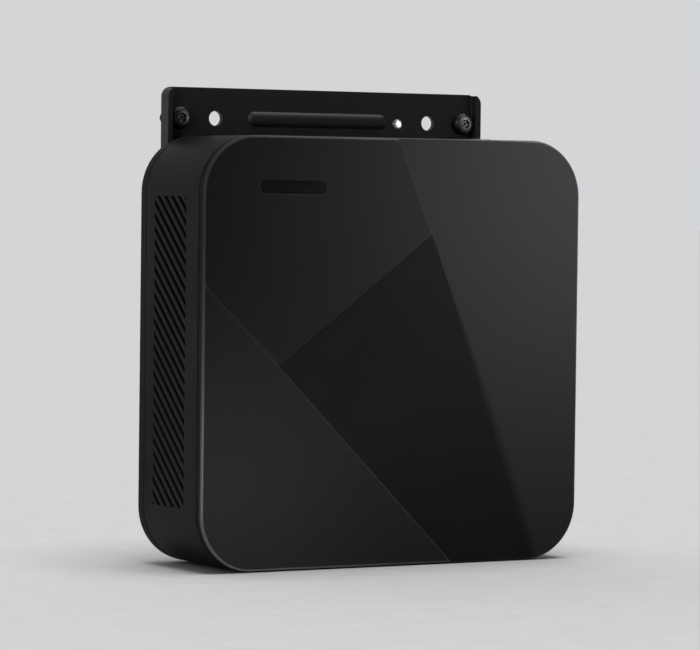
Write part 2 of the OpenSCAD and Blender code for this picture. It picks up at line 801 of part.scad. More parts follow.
module coin_cell() {
    color("#c3c6c9") unit() translate([46, 26, 0]) {
        rod(10, 5.6, 8.2);
        rod(8.6, 5.2, 5.6);
    }
}

module coin_cell_holder() {
    color("#1c1d1f") unit() translate([46, 26, 0]) difference() {
        rod(11.4, 6.4, board_low);
        rod(10.1, 5, 8.2 + fit_gap);
    }
}

// ---------------------------------------------------------------- storage

tray_y = [-37, 34];

ear_xy = [[55.5, 27], [55.5, -27]];

module drive_tray() {
    color("#a3a6aa") unit() difference() {
        union() {
            block([-51, 51], tray_y, [26.4, 27.2]);
            for (sx = [-1, 1]) {
                block([sx > 0 ? 50.2 : -51, sx > 0 ? 51 : -50.2], tray_y, [26.4, 34.4]);
                for (p = ear_xy) {
                    block([sx > 0 ? 50.2 : -51, sx > 0 ? 51 : -50.2], [p[1] - 4, p[1] + 4],
                          [34, 35.25]);
                    block([sx > 0 ? 50.2 : -59.5, sx > 0 ? 59.5 : -50.2], [p[1] - 4, p[1] + 4],
                          [34.45, 35.25]);
                }
            }
        }
        for (sx = [-1, 1], p = ear_xy) translate([sx * p[0], p[1], 0]) rod(1.2, 33, 36);
        for (x = [-30 : 20 : 30]) translate([x, -2, 0]) rod(7, 26, 28);
    }
}

module tray_screws() {
    color("#8d9095") unit() for (sx = [-1, 1], p = ear_xy) translate([sx * p[0], p[1], 0])
        difference() {
            union() {
                rod(1.05, 33.4, 36.7);
                rod(2.2, 33.1, 34.45);
            }
            for (a = [0, 90]) rotate([0, 0, a]) block([-1.3, 1.3], [-0.25, 0.25], [33, 33.8]);
        }
}

module storage_drive() {
    color("#3c3e42") unit() difference() {
        block([-50, 50], [-36, 33.8], [27.25, 34.2]);
        block([-22, 20], [31, 35], [28.6, 32.6]);
        block([-40, 40], [-30, 24], [33.8, 35]);
    }
}

module drive_cable() {
    color("#202124") unit() {
        block([-21.9, 19.9], [31.1, 38.8], [28.7, 32.5]);
        block([-18, 16], [38.1, 38.6], [15, 28.8]);
        block([-20, 18], [37, 40.6], [board_top, 15.1]);
    }
}

vesa_bracket();
bracket_rivet();
vesa_screws();
faceted_cover();
cover_badge();
main_housing();
base_pan();
base_screws();
rubber_feet();
hanger_studs();
rear_io_plate();
lock_plate();
motherboard();
board_screws();
cpu_package();
heat_spreader();
spreader_screws();
heat_pipe();
fin_stack();
blower_housing();
fan_bearing();
fan_stator();
blower_rotor();
fan_lead();
power_stage();
memory_sockets();
memory_modules();
ssd_socket();
ssd_module();
ssd_screw();
wifi_module();
antennas();
antenna_leads();
coin_cell();
coin_cell_holder();
drive_tray();
tray_screws();
storage_drive();
drive_cable();
dc_jack();
hdmi_port();
display_port();
lan_port();
lan_lights();
usb_stacks();
usb_front_ports();
usb_tongues();
usb_c_port();
audio_jack();
card_reader();
power_button();
power_light_ring();
power_switch();
status_lens();
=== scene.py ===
import json
import math
import random

import bmesh
import bpy
from mathutils import Matrix, Vector


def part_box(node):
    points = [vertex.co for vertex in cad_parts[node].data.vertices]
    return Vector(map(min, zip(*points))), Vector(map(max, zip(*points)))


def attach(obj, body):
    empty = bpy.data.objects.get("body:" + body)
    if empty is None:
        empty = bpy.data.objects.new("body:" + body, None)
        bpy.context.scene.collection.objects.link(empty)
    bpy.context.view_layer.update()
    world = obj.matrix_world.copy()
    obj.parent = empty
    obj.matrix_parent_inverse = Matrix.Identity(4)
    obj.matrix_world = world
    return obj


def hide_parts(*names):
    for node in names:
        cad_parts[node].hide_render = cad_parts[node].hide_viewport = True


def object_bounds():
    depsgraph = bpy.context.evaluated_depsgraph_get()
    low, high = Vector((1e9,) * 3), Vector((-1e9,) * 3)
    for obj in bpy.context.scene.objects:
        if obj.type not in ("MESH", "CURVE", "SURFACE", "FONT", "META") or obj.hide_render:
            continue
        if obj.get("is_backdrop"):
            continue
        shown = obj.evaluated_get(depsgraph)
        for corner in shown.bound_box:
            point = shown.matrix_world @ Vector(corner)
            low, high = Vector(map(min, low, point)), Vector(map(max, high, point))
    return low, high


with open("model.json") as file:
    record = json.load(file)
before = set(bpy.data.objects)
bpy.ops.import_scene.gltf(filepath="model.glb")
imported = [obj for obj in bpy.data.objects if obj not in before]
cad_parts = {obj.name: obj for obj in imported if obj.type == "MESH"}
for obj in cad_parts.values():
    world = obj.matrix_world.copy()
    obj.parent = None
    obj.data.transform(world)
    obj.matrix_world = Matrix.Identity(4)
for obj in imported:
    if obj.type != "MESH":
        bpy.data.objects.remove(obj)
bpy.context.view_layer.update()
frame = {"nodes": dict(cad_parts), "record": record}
NODES = frame["nodes"]
MM = 0.001
UNIT_Z = -0.019        # centre height of the hanging computer
BASE_Y = -0.0052       # its base face, which looks at the bracket


# ------------------------------------------------------------------ node helpers

class Graph:
    """A material's node tree with short calls for the nodes used here."""

    def __init__(self, name):
        self.mat = bpy.data.materials.new(name)
        self.mat.use_nodes = True
        self.tree = self.mat.node_tree
        self.tree.nodes.clear()
        self.out = self.tree.nodes.new("ShaderNodeOutputMaterial")
        self.shader = self.tree.nodes.new("ShaderNodeBsdfPrincipled")
        self.link(self.shader.outputs[0], self.out.inputs["Surface"])
        self.coord = self.tree.nodes.new("ShaderNodeTexCoord")
        self.pos = self.coord.outputs["Object"]

    def link(self, a, b):
        self.tree.links.new(a, b)

    def feed(self, socket, value):
        if isinstance(value, bpy.types.NodeSocket):
            self.link(value, socket)
        else:
            socket.default_value = value

    def math(self, op, a, b=0.0, clamp=False):
        n = self.tree.nodes.new("ShaderNodeMath")
        n.operation, n.use_clamp = op, clamp
        self.feed(n.inputs[0], a)
        self.feed(n.inputs[1], b)
        return n.outputs[0]

    def stretch(self, scale, rotation=(0, 0, 0)):
        n = self.tree.nodes.new("ShaderNodeMapping")
        n.inputs["Scale"].default_value = scale
        n.inputs["Rotation"].default_value = rotation
        self.link(self.pos, n.inputs["Vector"])
        return n.outputs[0]

    def noise(self, scale, detail=2.0, rough=0.5, vector=None):
        n = self.tree.nodes.new("ShaderNodeTexNoise")
        n.inputs["Scale"].default_value = scale
        n.inputs["Detail"].default_value = detail
        n.inputs["Roughness"].default_value = rough
        self.link(vector or self.pos, n.inputs["Vector"])
        return n.outputs["Fac"]

    def cells(self, scale):
        n = self.tree.nodes.new("ShaderNodeTexVoronoi")
        n.inputs["Scale"].default_value = scale
        self.link(self.pos, n.inputs["Vector"])
        return n.outputs["Distance"]

    def span(self, value, lo, hi, to_lo=0.0, to_hi=1.0):
        """Maps lo..hi to to_lo..to_hi and holds the ends."""
        n = self.tree.nodes.new("ShaderNodeMapRange")
        n.clamp = True
        self.feed(n.inputs["Value"], value)
        n.inputs["From Min"].default_value = lo
        n.inputs["From Max"].default_value = hi
        n.inputs["To Min"].default_value = to_lo
        n.inputs["To Max"].default_value = to_hi
        return n.outputs["Result"]

    def mix(self, fac, a, b):
        n = self.tree.nodes.new("ShaderNodeMix")
        n.data_type = "RGBA"
        self.feed(n.inputs["Factor"], fac)
        for socket, value in ((n.inputs[6], a), (n.inputs[7], b)):
            self.feed(socket, value if isinstance(value, bpy.types.NodeSocket) else (*value, 1.0))
        return n.outputs[2]

    def edges(self, radius, strength):
        """Mask that rises on edges, where the rounded normal leaves the true one."""
        soft = self.rounded_normal(radius)
        hard = self.tree.nodes.new("ShaderNodeNewGeometry")
        dot = self.tree.nodes.new("ShaderNodeVectorMath")
        dot.operation = "DOT_PRODUCT"
        self.link(soft, dot.inputs[0])
        self.link(hard.outputs["Normal"], dot.inputs[1])
        return self.math("MULTIPLY", self.span(dot.outputs["Value"], 0.995, 0.8), strength)

    def rounded_normal(self, radius):
        n = self.tree.nodes.new("ShaderNodeBevel")
        n.samples = 4
        n.inputs["Radius"].default_value = radius
        return n.outputs[0]

    def bump(self, height, strength, distance, rounded=0.0):
        n = self.tree.nodes.new("ShaderNodeBump")
        n.inputs["Strength"].default_value = strength
        n.inputs["Distance"].default_value = distance
        self.feed(n.inputs["Height"], height)
        if rounded:
            self.link(self.rounded_normal(rounded), n.inputs["Normal"])
        self.link(n.outputs[0], self.shader.inputs["Normal"])

    def set(self, **values):
        """Constants, set directly on the shader's sockets."""
        for key, value in values.items():
            self.shader.inputs[key.replace("_", " ")].default_value = value

    def surface(self, colour, rough):
        self.feed(self.shader.inputs["Base Color"],
                  colour if isinstance(colour, bpy.types.NodeSocket) else (*colour, 1.0))
        self.feed(self.shader.inputs["Roughness"], rough)


def shade(colour, k):
    """The colour k times as bright."""
    return tuple(min(1.0, c * k) for c in colour)


# ------------------------------------------------------------------ materials

def plastic(name, colour, rough=0.5, grain=2600, depth=0.02, specular=0.3, rounded=0.0003,
            wear_and_highlight=0.5, contrast=0.12):
    """Moulded plastic: spark-eroded grain, slow cloudiness, handled spots, and paler edges that
    are partly rubbed and partly a painted highlight.
    """
    g = Graph(name)
    cloud = g.noise(38, 4, 0.6)
    grainy = g.noise(grain, 2, 0.7)
    base = g.mix(g.span(cloud, 0.3, 0.7), shade(colour, 1 - contrast), shade(colour, 1 + contrast))
    base = g.mix(g.math("MULTIPLY", grainy, 0.25), base, shade(colour, 1.5))
    # Paler edges: partly rubbed with use, partly a painted highlight where rounded edges would
    # catch the light.
    if wear_and_highlight:
        base = g.mix(g.edges(rounded * 1.3, wear_and_highlight), base, shade(colour, 2.1))
    patch = g.span(g.noise(14, 3, 0.6), 0.42, 0.62, rough - 0.06, rough + 0.05)
    g.surface(base, g.math("ADD", patch, g.span(grainy, 0.3, 0.7, -0.04, 0.04), clamp=True))
    g.set(Specular_IOR_Level=specular)
    g.bump(grainy, depth, 0.0002, rounded)
    return g.mat


def metal(name, colour, rough=0.3, along=(1, 1, 1), rounded=0.0001):
    """Sheet or turned metal with rolling marks, faint stains and brighter edges."""
    g = Graph(name)
    lines = g.noise(900, 3, 0.65, g.stretch(along))
    stain = g.noise(60, 4, 0.6)
    base = g.mix(g.span(stain, 0.35, 0.7), shade(colour, 0.82), colour)
    base = g.mix(g.math("MULTIPLY", lines, 0.3), base, shade(colour, 0.6))
    if rounded:
        base = g.mix(g.edges(rounded * 1.2, 0.5), base, shade(colour, 1.25))
    g.surface(base, g.math("ADD", g.span(lines, 0.3, 0.7, rough - 0.07, rough + 0.1),
                           g.span(stain, 0.4, 0.7, 0.0, 0.08), clamp=True))
    g.set(Metallic=1.0)
    g.bump(lines, 0.12, 0.00004, rounded)
    return g.mat


def powder_coat(name, colour):
    """Fine black powder coat: orange-peel skin, glints, and paler edges that are partly rubbed and
    partly a painted highlight.
    """
    g = Graph(name)
    peel = g.noise(1500, 3, 0.6)
    glint = g.span(g.cells(3800), 0.0, 0.16, 1.0, 0.0)
    cloud = g.noise(30, 3, 0.6)
    base = g.mix(g.span(cloud, 0.3, 0.7), shade(colour, 0.85), shade(colour, 1.15))
    base = g.mix(g.math("MULTIPLY", glint, 0.22), base, shade(colour, 3.0))
    # Paler edges: partly rubbed, partly a painted highlight along the sheet's edges and bends.
    base = g.mix(g.edges(0.0004, 0.7), base, shade(colour, 3.4))
    g.surface(base, g.span(peel, 0.3, 0.7, 0.42, 0.58))
    g.set(Specular_IOR_Level=0.28)
    g.bump(peel, 0.16, 0.0002, 0.0003)
    return g.mat


def rubber(name, colour):
    """Matt rubber or cable jacket: fine pores and a little dust."""
    g = Graph(name)
    pores = g.cells(1900)
    dust = g.noise(120, 4, 0.65)
    base = g.mix(g.span(dust, 0.5, 0.75), colour, shade(colour, 2.4))
    g.surface(base, g.span(dust, 0.3, 0.7, 0.66, 0.84))
    g.set(Specular_IOR_Level=0.25)
    g.bump(pores, 0.12, 0.0002, 0.0003)
    return g.mat


PLATED_VIA = (0.42, 0.35, 0.2)


def circuit(name, colour):
    """Solder mask with tracks, vias and a faint weave of the laminate."""
    g = Graph(name)
    track = g.tree.nodes.new("ShaderNodeTexBrick")
    for key, value in (("Scale", 210), ("Mortar Size", 0.035), ("Brick Width", 2.6),
                       ("Row Height", 0.22)):
        track.inputs[key].default_value = value
    g.link(g.stretch((1, 1, 1), (math.pi / 2, 0, 0)), track.inputs["Vector"])
    on = g.math("MULTIPLY", track.outputs["Fac"], g.span(g.noise(45, 2), 0.46, 0.54))
    via = g.span(g.cells(330), 0.05, 0.09, 1.0, 0.0)
    base = g.mix(g.span(g.noise(25, 3), 0.3, 0.7), shade(colour, 0.8), shade(colour, 1.2))
    base = g.mix(g.math("MULTIPLY", on, 0.7), base, shade(colour, 2.3))
    base = g.mix(g.math("MULTIPLY", via, 0.8), base, PLATED_VIA)
    g.surface(base, g.span(g.noise(600, 2), 0.3, 0.7, 0.28, 0.4))
    g.bump(g.math("ADD", on, via), 0.25, 0.0001)
    return g.mat


def chip(name, colour):
    """Moulded package with the fine matt skin and slight sheen of epoxy."""
    return plastic(name, colour, 0.44, 4200, 0.05, 0.4, 0.0002, 0.35, 0.08)


def milky(name, colour):
    """Milky diffuser with small clouds."""
    g = Graph(name)
    cloud = g.noise(400, 3)
    g.surface(g.mix(g.span(cloud, 0.3, 0.7), shade(colour, 0.9), colour),
              g.span(cloud, 0.3, 0.7, 0.25, 0.36))
    g.set(Subsurface_Weight=0.3, Subsurface_Scale=0.001)
    g.bump(cloud, 0.05, 0.0001)
    return g.mat


def winding(name, colour):
    """Enamelled copper wire wound in fine rows along Y."""
    g = Graph(name)
    wave = g.tree.nodes.new("ShaderNodeTexWave")
    wave.bands_direction = "Y"
    wave.inputs["Scale"].default_value = 420
    wave.inputs["Distortion"].default_value = 0.6
    g.link(g.pos, wave.inputs["Vector"])
    rowed = wave.outputs["Fac"]
    # Darker between the rows of wire: painted shade in the grooves between the turns.
    g.surface(g.mix(rowed, shade(colour, 0.45), colour), g.span(rowed, 0, 1, 0.42, 0.26))
    g.set(Metallic=0.85)
    g.bump(rowed, 0.6, 0.0003)
    return g.mat


# The cover's outline, and how wide its slanted edge is.
HALF_W, HALF_H, CORNER_R = 0.065, 0.0635, 0.017
EDGE_FROM, EDGE_TO = 0.0013, 0.001

# Corners of the cover's facets: X and height on the hanging computer, in metres.
LEFT_EDGE = (-0.0656, UNIT_Z + 0.0216)
LEFT = (-0.0393, UNIT_Z - 0.0041)
LOW_LEFT = (0.0211, UNIT_Z - 0.064)
TOP_EDGE = (0.0, UNIT_Z + 0.064)
TOP = (0.0125, UNIT_Z + 0.0346)
LOW_RIGHT = (0.0497, UNIT_Z - 0.064)

# Tones of the cover's facets, which are painted light and shade for each facet, and of the marks
# on them, among them a painted highlight on the rim and a painted shadow along one join.
UPPER_FACET_PAINTED_SHADING = (0.0014, 0.0014, 0.0016)
RIGHT_FACET_PAINTED_LIGHT = (0.0042, 0.0043, 0.0047)
LOWER_FACET_PAINTED_SHADING = (0.0023, 0.0023, 0.0026)
CENTRE_FACET_PAINTED_SHADE = (0.0002, 0.0002, 0.0003)
SEAM_PAINTED_SHADOW = (0.0001, 0.0001, 0.0001)
SPECK_TONE = (0.006, 0.0061, 0.0066)
CLOUD_TONE = (0.005, 0.0051, 0.0055)
WORN_EDGE_AND_HIGHLIGHT_TONE = (0.03, 0.0305, 0.0325)
RIM_PAINTED_HIGHLIGHT = (0.024, 0.0244, 0.0258)


def cover_material():
    """Charcoal cover: one fine grain, painted light and shade and a gloss for each facet, paler
    edges that are partly rubbed and partly a painted highlight, a rim painted pale as a highlight,
    and a painted shadow along one join.
    """
    g = Graph("cover_plastic")
    split = g.tree.nodes.new("ShaderNodeSeparateXYZ")
    g.link(g.pos, split.inputs[0])
    x, z = split.outputs["X"], split.outputs["Z"]

    def beyond(a, b):
        """Positive on the left of the line from a to b, seen from the front."""
        dx, dz = b[0] - a[0], b[1] - a[1]
        length = math.hypot(dx, dz)
        first = g.math("MULTIPLY", g.math("SUBTRACT", z, a[1]), dx / length)
        second = g.math("MULTIPLY", g.math("SUBTRACT", x, a[0]), dz / length)
        return g.math("SUBTRACT", first, second)

    def on(value):
        """Step from 0 to 1 where the value turns positive."""
        return g.span(value, -0.00006, 0.00006)

    def off(mask):
        return g.math("SUBTRACT", 1.0, mask)

    # Facets: right-hand, lower left, and the one between them, which is painted dark as shade.
    # The right facet's mask fades over about four millimetres across the fold, so its painted
    # light blends softly into the centre facet's painted shade.
    folded = g.span(beyond(TOP, LOW_RIGHT), -0.0008, 0.003)
    right = g.math("MAXIMUM", on(beyond(TOP_EDGE, TOP)), folded)
    lower = on(g.math("MINIMUM", beyond(LEFT, LEFT_EDGE), beyond(LOW_LEFT, LEFT)))
    below = on(beyond(TOP, LEFT))
    centre = g.math("MULTIPLY", below, g.math("MULTIPLY", off(right), off(lower)))

    # Rim: the slanted edge that runs round the outline, later painted pale as a highlight line.
    facing = g.tree.nodes.new("ShaderNodeSeparateXYZ")
    g.link(g.coord.outputs["Normal"], facing.inputs[0])
    tilt = g.math("ABSOLUTE", facing.outputs["Y"])
    slanted = g.math("MULTIPLY", g.span(tilt, 0.98, 0.9), g.span(tilt, 0.2, 0.35))
    out_x = g.math("MAXIMUM", g.math("SUBTRACT", g.math("ABSOLUTE", x), HALF_W - CORNER_R), 0.0)
    from_mid = g.math("ABSOLUTE", g.math("SUBTRACT", z, UNIT_Z))
    out_z = g.math("MAXIMUM", g.math("SUBTRACT", from_mid, HALF_H - CORNER_R), 0.0)
    reach = g.math("SQRT", g.math("ADD", g.math("MULTIPLY", out_x, out_x),
                                  g.math("MULTIPLY", out_z, out_z)))
    rim = g.math("MULTIPLY", slanted, g.span(reach, CORNER_R - EDGE_FROM, CORNER_R - EDGE_TO))

    # Colour: painted light and shade for each facet, then specks, cloudiness, paler edges that are
    # partly rubbed and partly a painted highlight, the rim's painted highlight and the painted
    # shadow along one join.
    cloud = g.noise(38, 4, 0.6)
    grain = g.noise(2400, 2, 0.7)
    # Painted light and shade: each facet gets its own shading colour in place of the light it
    # would catch.
    facet_light_and_shade = g.mix(right, UPPER_FACET_PAINTED_SHADING, RIGHT_FACET_PAINTED_LIGHT)
    facet_light_and_shade = g.mix(lower, facet_light_and_shade, LOWER_FACET_PAINTED_SHADING)
    facet_light_and_shade = g.mix(centre, facet_light_and_shade, CENTRE_FACET_PAINTED_SHADE)
    speck = g.mix(g.math("MULTIPLY", grain, 0.1), facet_light_and_shade, SPECK_TONE)
    soft = g.mix(g.math("MULTIPLY", g.span(cloud, 0.35, 0.7), 0.1), speck, CLOUD_TONE)
    # Paler edges: partly rubbed, partly a painted highlight along the facet joins and round the
    # rim.
    colour_with_painted_light = g.mix(g.edges(0.0005, 0.5), soft, WORN_EDGE_AND_HIGHLIGHT_TONE)
    # The rim painted pale: a painted highlight line round the cover.
    colour_with_painted_light = g.mix(rim, colour_with_painted_light, RIM_PAINTED_HIGHLIGHT)
    # Thin dark line along the join of the upper and the centre facet: a painted shadow in the
    # small step there.
    from_seam = g.math("ABSOLUTE", beyond(TOP, LEFT))
    seam_shadow = g.math("MULTIPLY", g.span(from_seam, 0.0004, 0.0002), off(lower))
    colour_with_painted_light = g.mix(g.math("MULTIPLY", seam_shadow, off(right)), colour_with_painted_light, SEAM_PAINTED_SHADOW)

    # Gloss: the dark facet is duller and the rim shinier.
    rough = g.math("ADD", 0.47, g.math("MULTIPLY", centre, 0.2))
    rough = g.math("ADD", rough, g.math("MULTIPLY", right, 0.03))
    rough = g.math("SUBTRACT", rough, g.math("MULTIPLY", rim, 0.22))
    g.surface(colour_with_painted_light, g.math("ADD", rough, g.span(grain, 0.3, 0.7, -0.035, 0.035)))
    g.set(Specular_IOR_Level=0.04)
    g.bump(grain, 0.03, 0.0002, 0.0004)
    return g.mat


SLOTS = {
    "bracket_paint": powder_coat("bracket_paint", (0.008, 0.0082, 0.009)),
    "rivet_steel": metal("rivet_steel", (0.24, 0.24, 0.25), 0.36),
    "black_steel": metal("black_steel", (0.018, 0.018, 0.02), 0.4),
    "screw_steel": metal("screw_steel", (0.5, 0.51, 0.53), 0.3),
    "cover_plastic": cover_material(),
    "badge_plastic": plastic("badge_plastic", (0.0004, 0.0004, 0.0005), 0.3, 5000, 0.01, 0.045),
    "housing_plastic": plastic("housing_plastic", (0.0024, 0.0025, 0.0028), 0.52, 2400, 0.04, 0.07,
                               0.0004, 0.6),
    "pan_plastic": plastic("pan_plastic", (0.0028, 0.0029, 0.0032), 0.55, 2200, 0.05, 0.07, 0.0004,
                           0.5),
    "foot_rubber": rubber("foot_rubber", (0.012, 0.012, 0.0125)),
    "stud_steel": metal("stud_steel", (0.5, 0.51, 0.53), 0.28, (1, 14, 1)),
    "io_plate": metal("io_plate", (0.46, 0.47, 0.49), 0.36, (1, 1, 16)),
    "board_green": circuit("board_green", (0.012, 0.06, 0.034)),
    "chip_black": chip("chip_black", (0.014, 0.0145, 0.016)),
    "copper": metal("copper", (0.72, 0.36, 0.21), 0.26, (1, 1, 10)),
    "fin_aluminium": metal("fin_aluminium", (0.74, 0.75, 0.77), 0.34, (12, 1, 1), 0.0),
    "blower_plastic": plastic("blower_plastic", (0.015, 0.0155, 0.017), 0.5, 1800, 0.05),
    "bearing_brass": metal("bearing_brass", (0.6, 0.43, 0.19), 0.35),
    "coil_copper": winding("coil_copper", (0.55, 0.24, 0.1)),
    "rotor_plastic": plastic("rotor_plastic", (0.022, 0.0225, 0.025), 0.42, 2000, 0.02, 0.35,
                             0.0002),
    "cable_black": rubber("cable_black", (0.011, 0.011, 0.012)),
    "inductor_grey": chip("inductor_grey", (0.1, 0.103, 0.11)),
    "socket_ivory": plastic("socket_ivory", (0.5, 0.46, 0.36), 0.46, 3000, 0.02, 0.4, 0.0002),
    "board_blue": circuit("board_blue", (0.008, 0.03, 0.075)),
    "shield_steel": metal("shield_steel", (0.62, 0.63, 0.65), 0.33, (10, 1, 1)),
    "antenna_brass": metal("antenna_brass", (0.72, 0.53, 0.24), 0.3, (1, 1, 8)),
    "cell_steel": metal("cell_steel", (0.66, 0.67, 0.69), 0.24),
    "tray_steel": metal("tray_steel", (0.56, 0.57, 0.6), 0.38, (9, 1, 1)),
    "drive_case": metal("drive_case", (0.27, 0.28, 0.3), 0.42, (1, 1, 1)),
    "jack_black": plastic("jack_black", (0.008, 0.008, 0.009), 0.24, 4000, 0.01, 0.5),
    "shell_steel": metal("shell_steel", (0.6, 0.61, 0.63), 0.27, (1, 1, 12)),
    "lamp_clear": milky("lamp_clear", (0.5, 0.55, 0.22)),
    "tongue_blue": plastic("tongue_blue", (0.02, 0.1, 0.38), 0.38, 4000, 0.02, 0.45, 0.0001),
    "button_plastic": plastic("button_plastic", (0.02, 0.0205, 0.0225), 0.3, 3200, 0.01, 0.45,
                              0.0004),
    "ring_diffuser": milky("ring_diffuser", (0.62, 0.66, 0.7)),
}
GOLD = metal("contact_gold", (0.83, 0.62, 0.26), 0.22, (1, 1, 1), 0.0)
SCREEN = metal("screen_wire", (0.045, 0.046, 0.05), 0.5, (1, 1, 1), 0.0)
MARK = milky("mark_paint", (0.34, 0.35, 0.37))

for part in frame["record"]["subparts"]:
    obj = NODES[part["node"]]
    obj.data.materials.clear()
    obj.data.materials.append(SLOTS[part["material_slot"]])


# ------------------------------------------------------------------ mesh helpers

def unit(x, y, z):
    """A point of the computer lying on its base (millimetres) to the hanging frame (metres)."""
    return Vector((x * MM, BASE_Y - z * MM, UNIT_Z + y * MM))


class Piece:
    """Collects one piece's mesh, then names it, colours it and hangs it on a body."""

    def __init__(self):
        self.bm = bmesh.new()

    def block(self, x, y, z):
        """Box between two corners given in the lying computer's millimetres."""
        a, b = unit(x[0], y[0], z[0]), unit(x[1], y[1], z[1])
        made = bmesh.ops.create_cube(self.bm, size=1.0)["verts"]
        mid, size = (a + b) / 2, b - a
        scale = Matrix.Diagonal((abs(size[0]), abs(size[1]), abs(size[2]), 1))
        bmesh.ops.transform(self.bm, matrix=Matrix.Translation(mid) @ scale, verts=made)

    def turned(self, profile, centre, axis, steps):
        """Closed solid of revolution: profile of (radius, along) in metres, ends on the axis."""
        axis = Vector(axis).normalized()
        side = axis.orthogonal().normalized()
        up = axis.cross(side)

        def out(i):
            angle = 2 * math.pi * i / steps
            return side * math.cos(angle) + up * math.sin(angle)

        rings = []
        for r, h in profile:
            middle = centre + axis * h
            spots = [middle + out(i) * r for i in range(steps)] if r else [middle]
            rings.append([self.bm.verts.new(spot) for spot in spots])
        for a, b in zip(rings, rings[1:]):
            for i in range(steps):
                j = (i + 1) % steps
                if len(a) == 1:
                    self.bm.faces.new((a[0], b[i], b[j]))
                elif len(b) == 1:
                    self.bm.faces.new((a[i], b[0], a[j]))
                else:
                    self.bm.faces.new((a[i], b[i], b[j], a[j]))

    def strip(self, rings):
        """Closed bar through rings of four corners, capped at both ends."""
        for a, b in zip(rings, rings[1:]):
            for k in range(4):
                m = (k + 1) % 4
                self.bm.faces.new((a[k], b[k], b[m], a[m]))
        self.bm.faces.new(rings[0])
        self.bm.faces.new(rings[-1])

    def done(self, name, material, body, slot=None, smooth=False, replaces=()):
        bmesh.ops.recalc_face_normals(self.bm, faces=self.bm.faces)
        mesh = bpy.data.meshes.new(name)
        self.bm.to_mesh(mesh)
        self.bm.free()
        obj = bpy.data.objects.new(name, mesh)
        bpy.context.scene.collection.objects.link(obj)
        mesh.materials.append(material)
        if smooth:
            mesh.shade_smooth()
            mesh.set_sharp_from_angle(angle=math.radians(35))
        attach(obj, body)
        if replaces:
            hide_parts(*replaces)


# ------------------------------------------------------------------ camera, floor, light

def camera():
    """Long lens from the front left, a little above the object's middle, slightly rolled."""
    data = bpy.data.cameras.new("camera")
    data.lens, data.sensor_width = 192, 36
    cam = bpy.data.objects.new("camera", data)
    bpy.context.scene.collection.objects.link(cam)
    bpy.context.scene.camera = cam
    cam.location = (-0.5734, -0.9931, 0.0277)
    lo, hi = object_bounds()
    aim = Vector((-0.004, -0.026, (lo[2] + hi[2]) / 2))
    roll = Matrix.Rotation(math.radians(0.7), 4, "Z").to_quaternion()
    cam.rotation_mode = "QUATERNION"
    cam.rotation_quaternion = (aim - cam.location).to_track_quat("-Z", "Y") @ roll
    data.clip_start, data.clip_end = 0.02, 40


def floor():
    """Wide disc of pale paper just under the object."""
    g = Graph("floor_paper")
    fleck = g.noise(90, 4, 0.6)
    g.surface(g.mix(g.span(fleck, 0.3, 0.7), (0.74, 0.74, 0.735), (0.78, 0.78, 0.775)), 0.85)
    g.set(Specular_IOR_Level=0.1)
    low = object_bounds()[0][2]
    bpy.ops.mesh.primitive_circle_add(vertices=96, radius=12, fill_type="NGON",
                                      location=(0, 0, low - 0.0003))
    obj = bpy.context.object
    obj.name = "floor"
    obj.data.materials.append(g.mat)
    obj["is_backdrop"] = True
    return obj


def light(name, place, size, power, tall=None, aim=(0, -0.03, -0.02), spread=50):
    """Soft box of a width and height in metres, with a grid that keeps its light on the object."""
    data = bpy.data.lights.new(name, "AREA")
    data.energy, data.size, data.color = power, size, (0.97, 0.98, 1.0)
    data.shape, data.size_y = "RECTANGLE", tall or size
    data.spread = math.radians(spread)
    obj = bpy.data.objects.new(name, data)
    bpy.context.scene.collection.objects.link(obj)
    obj.location = place
    obj.rotation_mode = "QUATERNION"
    obj.rotation_quaternion = (Vector(aim) - Vector(place)).to_track_quat("-Z", "Y")
    obj.visible_camera = False
    return obj


def sky(behind, front):
    """Studio surround: pale behind the object, dimmer in front of it."""
    world = bpy.data.worlds.new("studio")
    bpy.context.scene.world = world
    world.use_nodes = True
    tree = world.node_tree
    back = tree.nodes["Background"]
    back.inputs["Color"].default_value = (0.97, 0.98, 1.0, 1.0)
    where = tree.nodes.new("ShaderNodeTexCoord")
    split = tree.nodes.new("ShaderNodeSeparateXYZ")
    ramp = tree.nodes.new("ShaderNodeMapRange")
    for name, value in (("From Min", -0.1), ("From Max", 0.75), ("To Min", front),
                        ("To Max", behind)):
        ramp.inputs[name].default_value = value
    tree.links.new(where.outputs["Generated"], split.inputs[0])
    tree.links.new(split.outputs["Y"], ramp.inputs["Value"])
    tree.links.new(ramp.outputs["Result"], back.inputs["Strength"])


def shield(lamp, *things):
    """Keeps a lamp's light off some things, as a flag on a stand would."""
    group = bpy.data.collections.new(lamp.name + "_flag")
    for thing in things:
        group.objects.link(thing)
    for item in group.collection_objects:
        item.light_linking.link_state = "EXCLUDE"
    lamp.light_linking.receiver_collection = group


